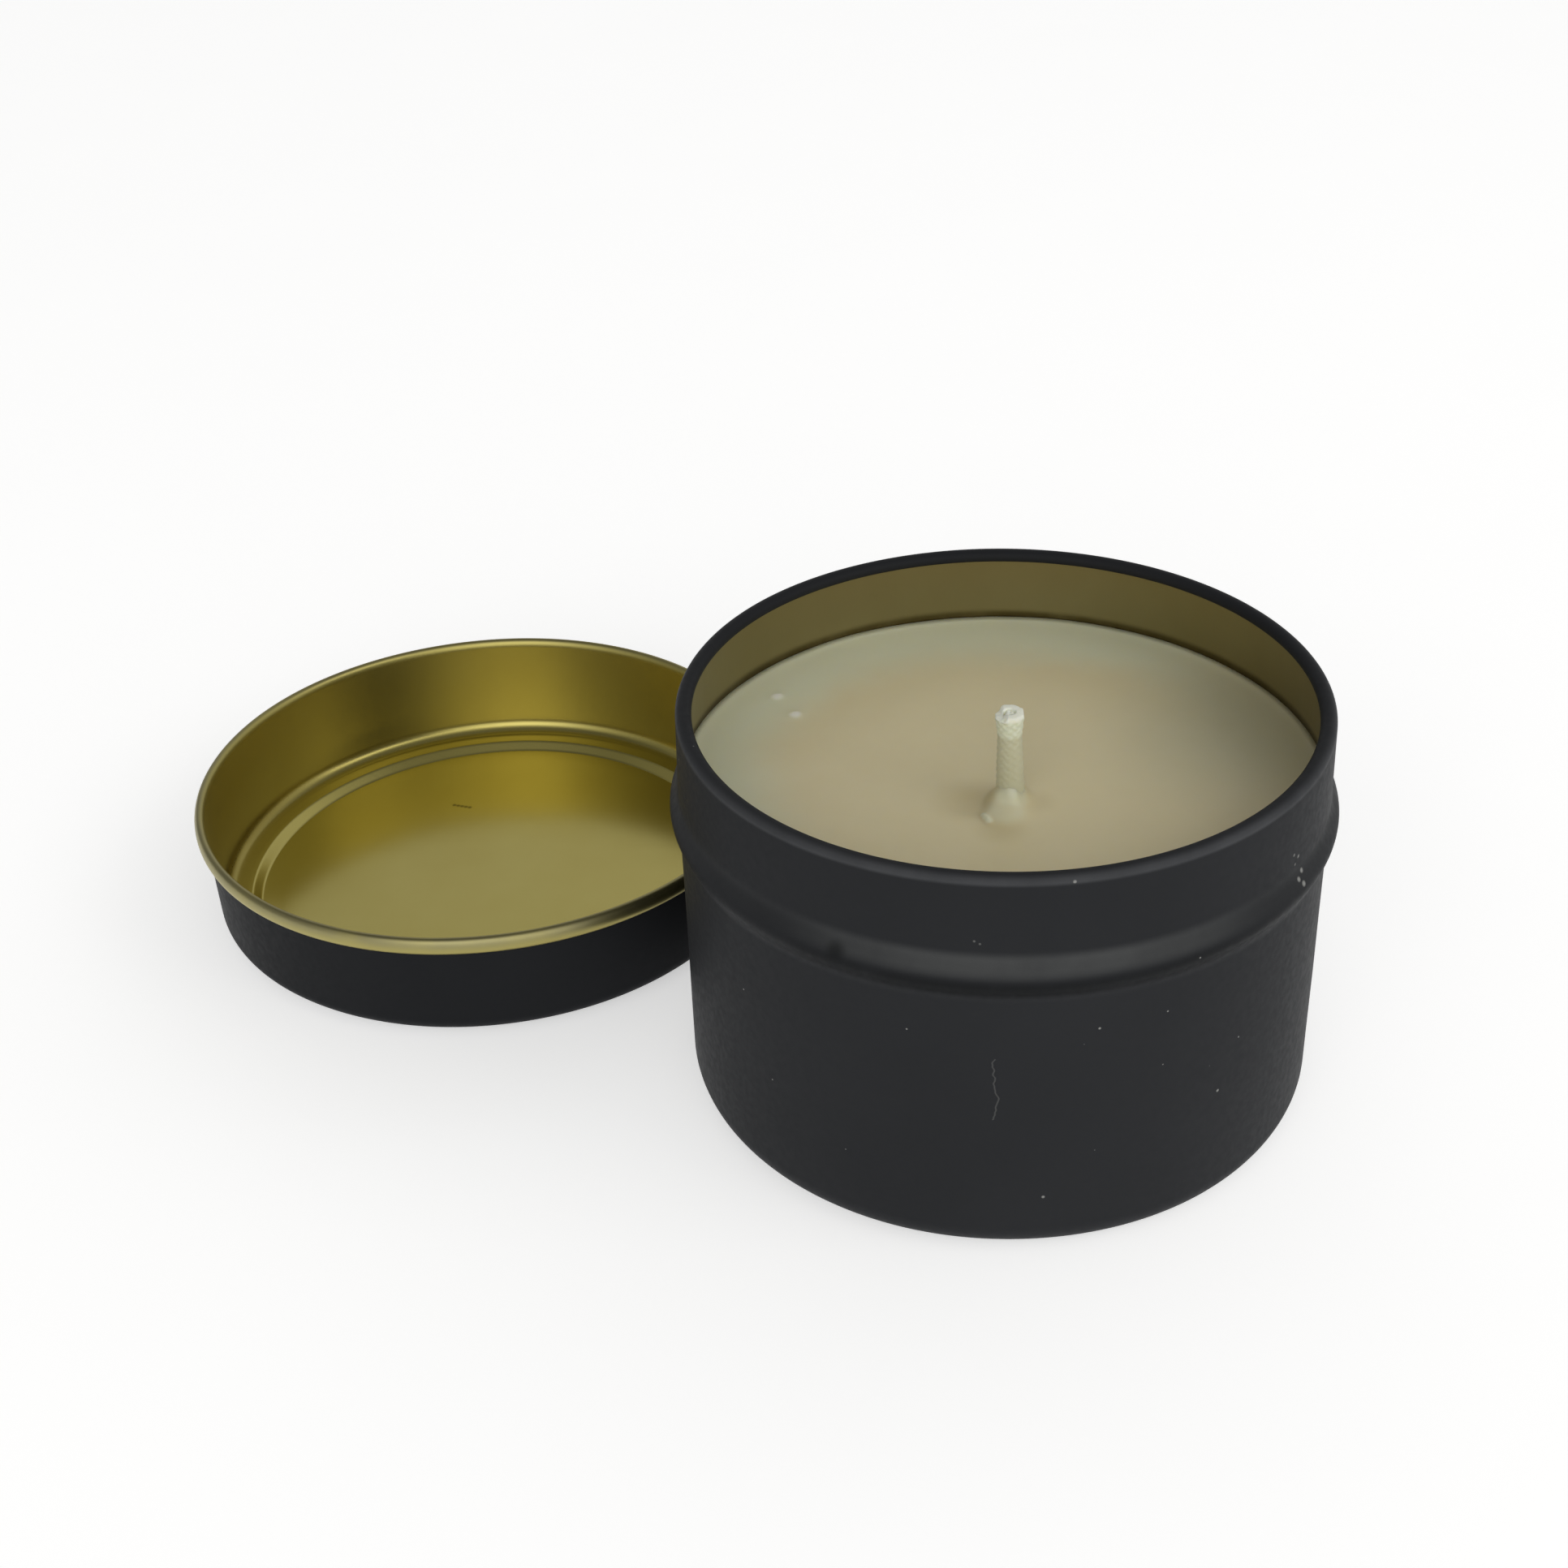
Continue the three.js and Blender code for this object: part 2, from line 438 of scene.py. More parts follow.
@dataclass(frozen=True)
class Spot:
    """A round patch of another tone.

    Attributes:
        place: x, y and z of its middle.
        radius: from there to where it has faded out.
        colour: its tone.
        amount: how much of that tone it has in its middle.
        core: share of the radius over which it doesn't fade.
    """

    place: tuple[float, float, float]
    radius: float
    colour: str
    amount: float = 0.8
    core: float = 0.3

    def over(self, tree: Tree, place: Source, under: Source) -> Source:
        """Lays the patch over a colour.

        Args:
            tree: the material's node tree.
            place: the object's coordinates.
            under: the colour below the patch.

        Returns:
            The colour with the patch on it.
        """
        away = add_node(tree, "VectorMath", {0: place, 1: Vector(self.place) * MM}, operation="DISTANCE")
        mask = add_node(
            tree,
            "MapRange",
            {
                "Value": away,
                "From Min": self.core * self.radius * MM,
                "From Max": self.radius * MM,
                "To Min": self.amount,
                "To Max": 0.0,
            },
            interpolation_type="SMOOTHSTEP",
        )
        return add_node(
            tree, "Mix", {"Factor": mask, "A": under, "B": linear(self.colour)}, data_type="RGBA"
        )


@dataclass(frozen=True)
class BlackStovedLacquer:
    """Black stoving lacquer, roller-coated on tinplate and baked: a satin black with a slight eggshell.

    The roller leaves a faint orange peel, the deep drawing leaves rings that can only just be seen, and
    handling leaves pale dust; bands of painted highlight and painted shade can lie over the black.
    """

    name: str
    axis: Point
    bands: tuple[Band, ...] = ()
    specks: tuple[Spot, ...] = ()
    scratches: tuple[tuple[float, float, float], ...] = ()
    black: str = "232426"
    black_worn: str = "2A2B2D"
    dust: str = "80807D"
    glossiest: float = 0.46
    dullest: float = 0.56

    def make(self) -> Material:
        """Builds the material and returns it."""
        material, tree, place = new_material(self.name)
        # Clouds of 22 mm: where hands have taken the edge off the black.
        clouds = add_node(tree, "TexNoise", {"Vector": place, "Scale": per_metre(22), "Detail": 4.0})
        ends = {"A": linear(self.black), "B": linear(self.black_worn)}
        colour = add_node(tree, "Mix", {"Factor": clouds, **ends}, data_type="RGBA")
        for band in self.bands:
            colour = band.over(tree, place, colour, self.axis)
        colour = add_node(
            tree,
            "Mix",
            {"Factor": self.dust_mask(tree, place), "A": colour, "B": linear(self.dust)},
            data_type="RGBA",
        )
        for speck in self.specks:
            colour = speck.over(tree, place, colour)
        # Orange peel is about 0.9 mm from crest to crest.
        peel = add_node(tree, "TexNoise", {"Vector": place, "Scale": per_metre(0.9), "Detail": 2.0})
        sheen = add_node(
            tree,
            "MapRange",
            {
                "Value": peel,
                "From Min": 0.3,
                "From Max": 0.7,
                "To Min": self.glossiest,
                "To Max": self.dullest,
            },
        )
        flat = add_node(tree, "Mapping", {"Vector": place, "Scale": (30.0, 30.0, per_metre(0.7))})
        drawn = add_node(tree, "TexNoise", {"Vector": flat, "Scale": 1.0, "Detail": 1.0})
        relief = add_node(tree, "Math", {0: drawn, 1: 0.5, 2: peel}, operation="MULTIPLY_ADD")
        bump = add_node(tree, "Bump", {"Height": relief, "Strength": 0.35, "Distance": 0.02 * MM})
        finish_material(
            tree, {"Base Color": colour, "Roughness": sheen, "Specular IOR Level": 0.05, "Normal": bump}
        )
        return material

    def dust_mask(self, tree: Tree, place: Source) -> Source:
        """Mask of the dust specks and hairline scratches.

        Args:
            tree: the material's node tree.
            place: the object's coordinates.

        Returns:
            An output that is 1 on a speck.
        """
        # Stray specks of 0.2 mm, one in every third cell of 3 mm.
        cells = add_node(tree, "TexVoronoi", {"Vector": place, "Scale": per_metre(3)})
        near = add_node(
            tree,
            "MapRange",
            {"Value": cells, "From Min": 0.025, "From Max": 0.045, "To Min": 1.0, "To Max": 0.0},
        )
        few = add_node(tree, "Math", {0: cells.outputs["Color"], 1: 0.66}, operation="GREATER_THAN")
        mask = add_node(tree, "Math", {0: near, 1: few}, operation="MULTIPLY")
        for angle, low, high in self.scratches:
            line = self.hairline(tree, place, angle, low, high)
            mask = add_node(tree, "Math", {0: mask, 1: line}, operation="MAXIMUM")
        return mask

    def hairline(self, tree: Tree, place: Source, angle: float, low: float, high: float) -> Source:
        """Mask of one wandering upright scratch.

        Args:
            tree: the material's node tree.
            place: the object's coordinates.
            angle: where it is around the tin, in degrees from the front.
            low: height of its lower end.
            high: height of its upper end.

        Returns:
            An output that is above 0 on the scratch.
        """
        parts = add_node(tree, "SeparateXYZ", {"Vector": place})
        back = add_node(tree, "Math", {0: parts.outputs["Y"], 1: -1.0}, operation="MULTIPLY")
        around = add_node(tree, "Math", {0: parts.outputs["X"], 1: back}, operation="ARCTAN2")
        # It wanders by up to a millimetre, 1.5 degrees here, every 4 mm or so.
        wander = add_node(
            tree,
            "TexNoise",
            {"W": parts.outputs["Z"], "Scale": per_metre(4), "Detail": 3.0},
            noise_dimensions="1D",
        )
        bent = add_node(
            tree, "Math", {0: wander, 1: math.radians(3.6), 2: around}, operation="MULTIPLY_ADD"
        )
        gap = add_node(tree, "Math", {0: bent, 1: math.radians(angle)}, operation="SUBTRACT")
        size = add_node(tree, "Math", {0: gap}, operation="ABSOLUTE")
        line = add_node(
            tree,
            "MapRange",
            {
                "Value": size,
                "From Min": math.radians(0.05),
                "From Max": math.radians(0.2),
                "To Min": 0.2,
                "To Max": 0.0,
            },
        )
        above = add_node(tree, "Math", {0: parts.outputs["Z"], 1: low * MM}, operation="GREATER_THAN")
        below = add_node(tree, "Math", {0: parts.outputs["Z"], 1: high * MM}, operation="LESS_THAN")
        within = add_node(tree, "Math", {0: above, 1: below}, operation="MULTIPLY")
        return add_node(tree, "Math", {0: line, 1: within}, operation="MULTIPLY")


@dataclass(frozen=True)
class GoldLacquer:
    """Clear gold lacquer over bright tinplate: the metal's reflections show through a warm yellow film.

    Its gloss is soft, because the sheet's rolling grain lies under the film, and softer still on the
    walls, which the drawing has roughened.
    """

    name: str
    axis: Point
    drawn_from: float
    bands: tuple[Band, ...] = ()
    marks: tuple[Spot, ...] = ()
    gold: str = "B7AC66"
    gold_deep: str = "B0A35B"
    panel_roughness: float = 0.17
    wall_roughness: float = 0.36

    def make(self) -> Material:
        """Builds the material and returns it."""
        material, tree, place = new_material(self.name)
        # The film pools in clouds of about 9 mm.
        pools = add_node(tree, "TexNoise", {"Vector": place, "Scale": per_metre(9), "Detail": 3.0})
        ends = {"A": linear(self.gold), "B": linear(self.gold_deep)}
        colour = add_node(tree, "Mix", {"Factor": pools, **ends}, data_type="RGBA")
        for band in self.bands:
            colour = band.over(tree, place, colour, self.axis)
        for mark in self.marks:
            colour = mark.over(tree, place, colour)
        # Rolling grain runs along the sheet: lines 0.35 mm apart and 14 mm long.
        along = add_node(
            tree, "Mapping", {"Vector": place, "Scale": (per_metre(14), per_metre(0.35), per_metre(14))}
        )
        grain = add_node(tree, "TexNoise", {"Vector": along, "Scale": 1.0, "Detail": 3.0})
        height = add_node(tree, "SeparateXYZ", {"Vector": place}).outputs["Z"]
        drawn = add_node(
            tree,
            "MapRange",
            {
                "Value": height,
                "From Min": self.drawn_from * MM,
                "From Max": (self.drawn_from + 2) * MM,
                "To Min": self.panel_roughness,
                "To Max": self.wall_roughness,
            },
        )
        sheen = add_node(tree, "Math", {0: grain, 1: 0.05, 2: drawn}, operation="MULTIPLY_ADD")
        bump = add_node(tree, "Bump", {"Height": grain, "Strength": 0.03, "Distance": 0.006 * MM})
        finish_material(tree, {"Base Color": colour, "Metallic": 1.0, "Roughness": sheen, "Normal": bump})
        return material


@dataclass(frozen=True)
class PouredWax:
    """Container wax, poured and left to set: creamy, a little translucent, dull with a soft skin sheen.

    Frosting mottles it in clouds, and its skin has set in very low ripples.
    """

    wick: Point
    level: float
    wax: str = "DCCFA4"
    wax_cloudy: str = "E4D8AE"
    # Painted reflection at the back left, along the wall.
    wax_painted_reflection: str = "DFE2C4"
    wax_oily: str = "B9A877"
    wax_set: str = "E2E2C4"
    wax_shaded: str = "A8A88C"
    wax_lump: str = "F6F5E4"

    def spots(self) -> list[Spot]:
        """Where the wax has another tone: painted shade by the right wall, an oily dip beside the wick, and
        lumps that set paler.
        """
        x, y = self.wick
        return [
            # Painted shade where the right wall shadows the wax.
            Spot((31.0, 9.0, self.level), 25.0, self.wax_shaded, 0.6, 0.1),
            Spot((x - 4.8, y - 0.4, self.level), 5.6, self.wax_oily, 0.42, 0.1),
            Spot((x - 1.2, y - 6.2, self.level), 4.0, self.wax_oily, 0.3, 0.1),
            Spot((x + 3.0, y - 0.6, self.level), 3.2, self.wax_oily, 0.25, 0.1),
            Spot((x + 0.1, y - 1.0, self.level + 1.2), 2.5, self.wax_set, 0.55, 0.5),
            Spot((x - 0.6, y - 3.4, self.level + 0.8), 3.1, self.wax_set, 0.5, 0.45),
            Spot((x + 0.2, y - 1.8, self.level + 1.8), 0.9, self.wax_set, 0.6, 0.4),
            Spot((x - 2.5, y - 5.0, self.level + 0.3), 0.65, self.wax_set, 0.95),
            Spot((x - 2.8, y - 4.4, self.level + 0.3), 0.65, self.wax_set, 0.95),
            Spot((x - 3.1, y - 3.8, self.level + 0.3), 0.6, self.wax_set, 0.95),
            Spot((x - 28.4, y + 23.1, self.level + 0.2), 1.1, self.wax_lump, 0.95),
            Spot((x - 25.9, y + 18.8, self.level + 0.2), 1.1, self.wax_lump, 0.9),
        ]

    def make(self) -> Material:
        """Builds the material and returns it."""
        material, tree, place = new_material("poured container wax")
        frost = add_node(
            tree, "TexNoise", {"Vector": place, "Scale": per_metre(14), "Detail": 5.0, "Distortion": 0.4}
        )
        tone = add_node(
            tree,
            "Mix",
            {"Factor": frost, "A": linear(self.wax), "B": linear(self.wax_cloudy)},
            data_type="RGBA",
        )
        # Paler grey-green towards the wall at the back left, in a ragged band of about 9 mm: a painted
        # reflection.
        flat = add_node(tree, "VectorMath", {0: place, 1: (1, 1, 0)}, operation="MULTIPLY")
        radius = add_node(tree, "VectorMath", {0: flat}, operation="LENGTH")
        side = add_node(tree, "VectorMath", {0: place, 1: (-0.6, 0.8, 0.0)}, operation="DOT_PRODUCT")
        ragged = add_node(tree, "Math", {0: frost, 1: 8.0 * MM, 2: radius}, operation="MULTIPLY_ADD")
        ring = add_node(
            tree,
            "MapRange",
            {"Value": ragged, "From Min": 27.0 * MM, "From Max": 37.0 * MM, "To Max": 0.85},
            interpolation_type="SMOOTHSTEP",
        )
        back_left = add_node(
            tree,
            "MapRange",
            {"Value": side, "From Min": -14.0 * MM, "From Max": 18.0 * MM},
            interpolation_type="SMOOTHSTEP",
        )
        reflection_band = add_node(tree, "Math", {0: ring, 1: back_left}, operation="MULTIPLY")
        colour = add_node(
            tree, "Mix", {"Factor": reflection_band, "A": tone, "B": linear(self.wax_painted_reflection)}, data_type="RGBA"
        )
        for spot in self.spots():
            colour = spot.over(tree, place, colour)
        ripple = add_node(tree, "TexNoise", {"Vector": place, "Scale": per_metre(1.6), "Detail": 4.0})
        sheen = add_node(
            tree,
            "MapRange",
            {"Value": ripple, "From Min": 0.3, "From Max": 0.7, "To Min": 0.36, "To Max": 0.5},
        )
        bump = add_node(tree, "Bump", {"Height": ripple, "Strength": 0.25, "Distance": 0.04 * MM})
        finish_material(
            tree,
            {
                "Base Color": colour,
                "Roughness": sheen,
                "IOR": 1.44,
                "Subsurface Weight": 0.35,
                "Subsurface Radius": (1.0, 0.8, 0.45),
                "Subsurface Scale": 1.5 * MM,
                "Normal": bump,
            },
        )
        return material


@dataclass(frozen=True)
class WaxedCotton:
    """Braided cotton dipped in wax: white fibres where the wax is thin, and the wax's own tone elsewhere."""

    name: str
    top: float
    dry_length: float = 2.9
    cotton: str = "F6F8E4"
    cotton_thin: str = "E9EDD3"
    waxed: str = "D6D4B6"

    def make(self) -> Material:
        """Builds the material and returns it."""
        material, tree, place = new_material(self.name)
        height = add_node(tree, "SeparateXYZ", {"Vector": place}).outputs["Z"]
        ragged = add_node(tree, "TexNoise", {"Vector": place, "Scale": per_metre(0.8), "Detail": 2.0})
        level = add_node(tree, "Math", {0: ragged, 1: 0.5 * MM, 2: height}, operation="MULTIPLY_ADD")
        dryness = add_node(
            tree,
            "MapRange",
            {
                "Value": level,
                "From Min": (self.top - self.dry_length) * MM,
                "From Max": (self.top - self.dry_length + 0.8) * MM,
            },
            interpolation_type="SMOOTHSTEP",
        )
        soaked = add_node(
            tree,
            "Mix",
            {"Factor": dryness, "A": linear(self.waxed), "B": linear(self.cotton_thin)},
            data_type="RGBA",
        )
        # The cut end has no wax on it at all.
        cut = add_node(
            tree,
            "MapRange",
            {"Value": height, "From Min": (self.top - 0.75) * MM, "From Max": (self.top - 0.45) * MM},
            interpolation_type="SMOOTHSTEP",
        )
        tone = add_node(
            tree, "Mix", {"Factor": cut, "A": soaked, "B": linear(self.cotton)}, data_type="RGBA"
        )
        # Fibres are finer than can be seen, so they're drawn 0.12 mm apart.
        fibres = add_node(
            tree, "Mapping", {"Vector": place, "Scale": (per_metre(0.12), per_metre(0.12), per_metre(1.5))}
        )
        thread = add_node(tree, "TexNoise", {"Vector": fibres, "Scale": 1.0, "Detail": 2.0})
        bump = add_node(tree, "Bump", {"Height": thread, "Strength": 0.4, "Distance": 0.03 * MM})
        sheen = add_node(tree, "MapRange", {"Value": dryness, "To Min": 0.45, "To Max": 0.8})
        finish_material(
            tree,
            {
                "Base Color": tone,
                "Roughness": sheen,
                "Subsurface Weight": 0.5,
                "Subsurface Radius": (1.0, 0.9, 0.7),
                "Subsurface Scale": 0.8 * MM,
                "Normal": bump,
            },
        )
        return material


@dataclass(frozen=True)
class BrightTinplate:
    """Tin-coated steel, rolled and stamped: a bright grey metal with a fine straight grain."""

    def make(self) -> Material:
        """Builds the material and returns it."""
        material, tree, place = new_material("stamped bright tinplate")
        along = add_node(
            tree, "Mapping", {"Vector": place, "Scale": (per_metre(8), per_metre(0.2), per_metre(8))}
        )
        grain = add_node(tree, "TexNoise", {"Vector": along, "Scale": 1.0, "Detail": 3.0})
        tone = add_node(
            tree, "Mix", {"Factor": grain, "A": linear("C4C6C4"), "B": linear("D8D9D6")}, data_type="RGBA"
        )
        bump = add_node(tree, "Bump", {"Height": grain, "Strength": 0.2, "Distance": 0.01 * MM})
        finish_material(tree, {"Base Color": tone, "Metallic": 1.0, "Roughness": 0.28, "Normal": bump})
        return material


@dataclass(frozen=True)
class AdhesiveFoam:
    """Closed-cell foam tape, die-cut: off-white, matt and pitted by its cells."""

    def make(self) -> Material:
        """Builds the material and returns it."""
        material, tree, place = new_material("die-cut foam tape")
        cells = add_node(tree, "TexVoronoi", {"Vector": place, "Scale": per_metre(0.3)})
        tone = add_node(
            tree, "Mix", {"Factor": cells, "A": linear("D9D7D0"), "B": linear("EFEDE7")}, data_type="RGBA"
        )
        bump = add_node(tree, "Bump", {"Height": cells, "Strength": 0.5, "Distance": 0.1 * MM})
        finish_material(tree, {"Base Color": tone, "Roughness": 0.9, "Normal": bump})
        return material


# --------------------------------------------------------------- sub-assemblies


@dataclass
class TinShell:
    """The tin: one drawn piece of sheet with a rounded foot, a bead, a neck and a rim rolled inwards."""

    height: float
    bead_radius: float
    sheet: float = 0.3
    bead_swell: float = 1.05
    bead_crest: float = 38.3
    bead_rise: float = 2.8
    bead_fall: float = 3.1
    neck_inset: float = 0.2
    corner: float = 3.8
    rim_width: float = 1.9
    rim_height: float = 1.6
    floor_rings: tuple[float, ...] = (0, 12, 24, 33)
    wall_rings: tuple[float, ...] = (10, 18, 26, 33)
    bend_steps: int = 14
    out_of_round: float = 0.09

    @classmethod
    def from_frame(cls) -> "TinShell":
        """Reads the tin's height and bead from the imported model."""
        _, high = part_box("tin_body")
        return cls(height=high.z / MM, bead_radius=high.x / MM)

    @property
    def wall_radius(self) -> float:
        """Outside of the plain wall."""
        return self.bead_radius - self.bead_swell

    @property
    def neck_radius(self) -> float:
        """Outside of the neck."""
        return self.wall_radius - self.neck_inset

    def radius_at(self, height: float) -> float:
        """Outside radius of the wall at a height, bead included."""
        above = height - self.bead_crest
        reach = self.bead_rise if above > 0 else self.bead_fall
        return self.wall_radius + self.bead_swell * bump_swell(above / reach)

    def wall_line(self, offset: float) -> list[Point]:
        """The sheet's line from the axis up to the neck.

        Args:
            offset: how far inside the outer face it runs.

        Returns:
            Radius and height of each point.
        """
        steps = self.bend_steps
        centre = (self.wall_radius - self.corner, self.corner)
        foot = [(radius, offset) for radius in self.floor_rings]
        corner = arc(centre, (self.corner - offset,) * 2, -90, 0, steps)
        plain = [(self.wall_radius - offset, height) for height in self.wall_rings]
        fall = [self.bead_crest - self.bead_fall * (1 - i / steps) for i in range(steps)]
        rise = [self.bead_crest + self.bead_rise * i / steps for i in range(steps + 1)]
        bead = [(self.radius_at(height) - offset, height) for height in fall + rise]
        return [*foot, *corner, *plain, *bead]

    def specks(self) -> tuple[Spot, ...]:
        """Dust and scuffs on the black, and the painted shade of one small dent, each laid on the wall's own
        surface.
        """
        specks = []
        for angle, height, size in TIN_SPECKS:
            on_neck = height > self.bead_crest + self.bead_rise
            radius = self.neck_radius if on_neck else self.radius_at(height)
            specks.append(Spot(on_wall(radius, angle, height), size, "9C9C98", 0.65))
        # Painted shade in place of one small dent on the bead.
        dent_shade = Spot(on_wall(self.radius_at(39.3), -27.5, 39.3), 1.7, "121313", 0.6, 0.1)
        return (*specks, dent_shade)

    def black(self) -> BlackStovedLacquer:
        """The lacquer outside, with painted highlight over the bead and the rim, strongest in front, and
        painted shade under the bead.
        """
        # Painted highlight over the bead's upper flank, strongest in front.
        bead_highlight = Band(self.bead_crest + 2.0, 1.8, "454646", around=(4, 8, 45), rest=0.2)
        # Painted shade under the bead, strongest in front.
        shade_under_bead = Band(self.bead_crest - 0.8, 1.8, "151617", around=(4, 15, 60), rest=0.4)
        # Painted highlight along the top of the rolled rim, strongest in front.
        rim = Band(
            self.height - 0.5, 0.7, "454648", beyond=self.neck_radius - 0.8, around=(4, 20, 90), rest=0.5
        )
        return BlackStovedLacquer(
            "black stoved lacquer on the tin",
            (0, 0),
            bands=(bead_highlight, shade_under_bead, rim),
            specks=self.specks(),
            scratches=((0.4, 19.5, 27.9),),
        )

    def gold(self, wax_level: float) -> GoldLacquer:
        """The lacquer inside: darker than the lid's gold as painted shade inside the tin, and a darker brown
        band around the wax line.
        """
        return GoldLacquer(
            "gold lacquer in the tin",
            (0, 0),
            drawn_from=0.0,
            bands=(Band(wax_level + 0.4, 1.3, "514626"),),
            # Darker than the lid's gold: painted shade inside the tin.
            gold="9A906A",
            gold_deep="90845D",
        )

    def build(self, wax_level: float) -> bpy.types.Object:
        """Makes the shell, black outside and gold inside.

        Args:
            wax_level: height of the wax.

        Returns:
            The piece.
        """
        roll = rolled_edge(self.neck_radius, self.height, self.rim_width, self.rim_height, -1, self.sheet)
        outside = [(point, Face.BLACK) for point in self.wall_line(0) + roll[0]]
        inside = [(point, Face.GOLD) for point in roll[1][::-1] + self.wall_line(self.sheet)[::-1]]
        mesh = turned(outside + inside, (0, 0), self.out_of_round)
        finishes = (self.black().make(), self.gold(wax_level).make())
        return piece_from("tin_shell", mesh, finishes, ["tin_body"])


@dataclass
class SlipLid:
    """The lid, lying on its top: panel, step, ring, corner, skirt and an edge rolled outwards."""

    centre: Point
    height: float
    roll_radius: float
    sheet: float = 0.3
    roll_reach: float = 1.15
    roll_height: float = 2.4
    skirt_flare: float = 0.3
    corner: float = 2.2
    panel_radius: float = 32.7
    panel_step: float = 1.1
    panel_slope: float = 1.5
    panel_rings: tuple[float, ...] = (0, 11, 22, 30)
    bend_steps: int = 12
    out_of_round: float = 0.12

    @classmethod
    def from_frame(cls) -> "SlipLid":
        """Reads the lid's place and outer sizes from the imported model."""
        low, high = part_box("lid")
        middle = (low + high) / 2 / MM
        return cls(centre=(middle.x, middle.y), height=high.z / MM, roll_radius=(high.x - low.x) / 2 / MM)

    def sheet_line(self, offset: float) -> list[Point]:
        """The sheet's line from the axis out and up to the foot of the skirt.

        Args:
            offset: how far above the lid's outer face it runs.

        Returns:
            Radius and height of each point.
        """
        steps = self.bend_steps
        foot = self.roll_radius - self.roll_reach - self.skirt_flare
        start = self.panel_radius - offset / 2
        panel = [(radius, offset) for radius in self.panel_rings]
        slope = [i / steps for i in range(steps + 1)]
        step = [(start + self.panel_slope * t, offset + self.panel_step * eased(t)) for t in slope]
        centre = (foot - self.corner, self.panel_step + self.corner)
        corner = arc(centre, (self.corner - offset,) * 2, -90, 0, steps)
        return [*panel, *step, *corner]

    def black(self) -> BlackStovedLacquer:
        """The lacquer outside, darker than the tin's black: painted shade on the lid."""
        name = "black stoved lacquer on the lid"
        # Darker than the tin's black: painted shade on the lid.
        return BlackStovedLacquer(name, self.centre, black="191A1C", black_worn="202123")

    def gold(self) -> GoldLacquer:
        """The lacquer inside: duller on the roll, painted shade low in the corner except at the back, and a
        nick on the panel.
        """
        roll = Band(self.height, 2.2, "8E8864", beyond=self.roll_radius - 1.0)
        # Painted shade low in the corner, all round but the back.
        corner = Band(self.panel_step + 1.3, 1.4, "7C6A2E", 0.65, 34.5, (0, 100, 160), 0.1)
        along = (-79.4, -78.8, -78.2, -77.6, -77.0)
        nick = [Spot((x, 53.9 - 0.25 * (x + 79.4), self.sheet), 0.45, "4A4220", 0.7) for x in along]
        fleck = Spot((-110.8, 44.3, 1.6), 0.7, "E0D8A0", 0.8)
        return GoldLacquer(
            "gold lacquer in the lid",
            self.centre,
            drawn_from=self.panel_step + self.sheet,
            bands=(roll, corner),
            marks=(*nick, fleck),
        )

    def build(self) -> bpy.types.Object:
        """Makes the shell, black outside and gold inside; the roll brings the gold round to the outside.

        Returns:
            The piece.
        """
        wall = self.roll_radius - self.roll_reach - self.sheet
        roll = rolled_edge(wall, self.height, self.roll_reach + self.sheet, self.roll_height, 1, self.sheet)
        outside = [(point, Face.BLACK) for point in self.sheet_line(0) + roll[1]]
        inside = [(point, Face.GOLD) for point in roll[0][::-1] + self.sheet_line(self.sheet)[::-1]]
        mesh = turned(outside + inside, self.centre, self.out_of_round)
        finishes = (self.black().make(), self.gold().make())
        return piece_from("lid_shell", mesh, finishes, ["lid"])


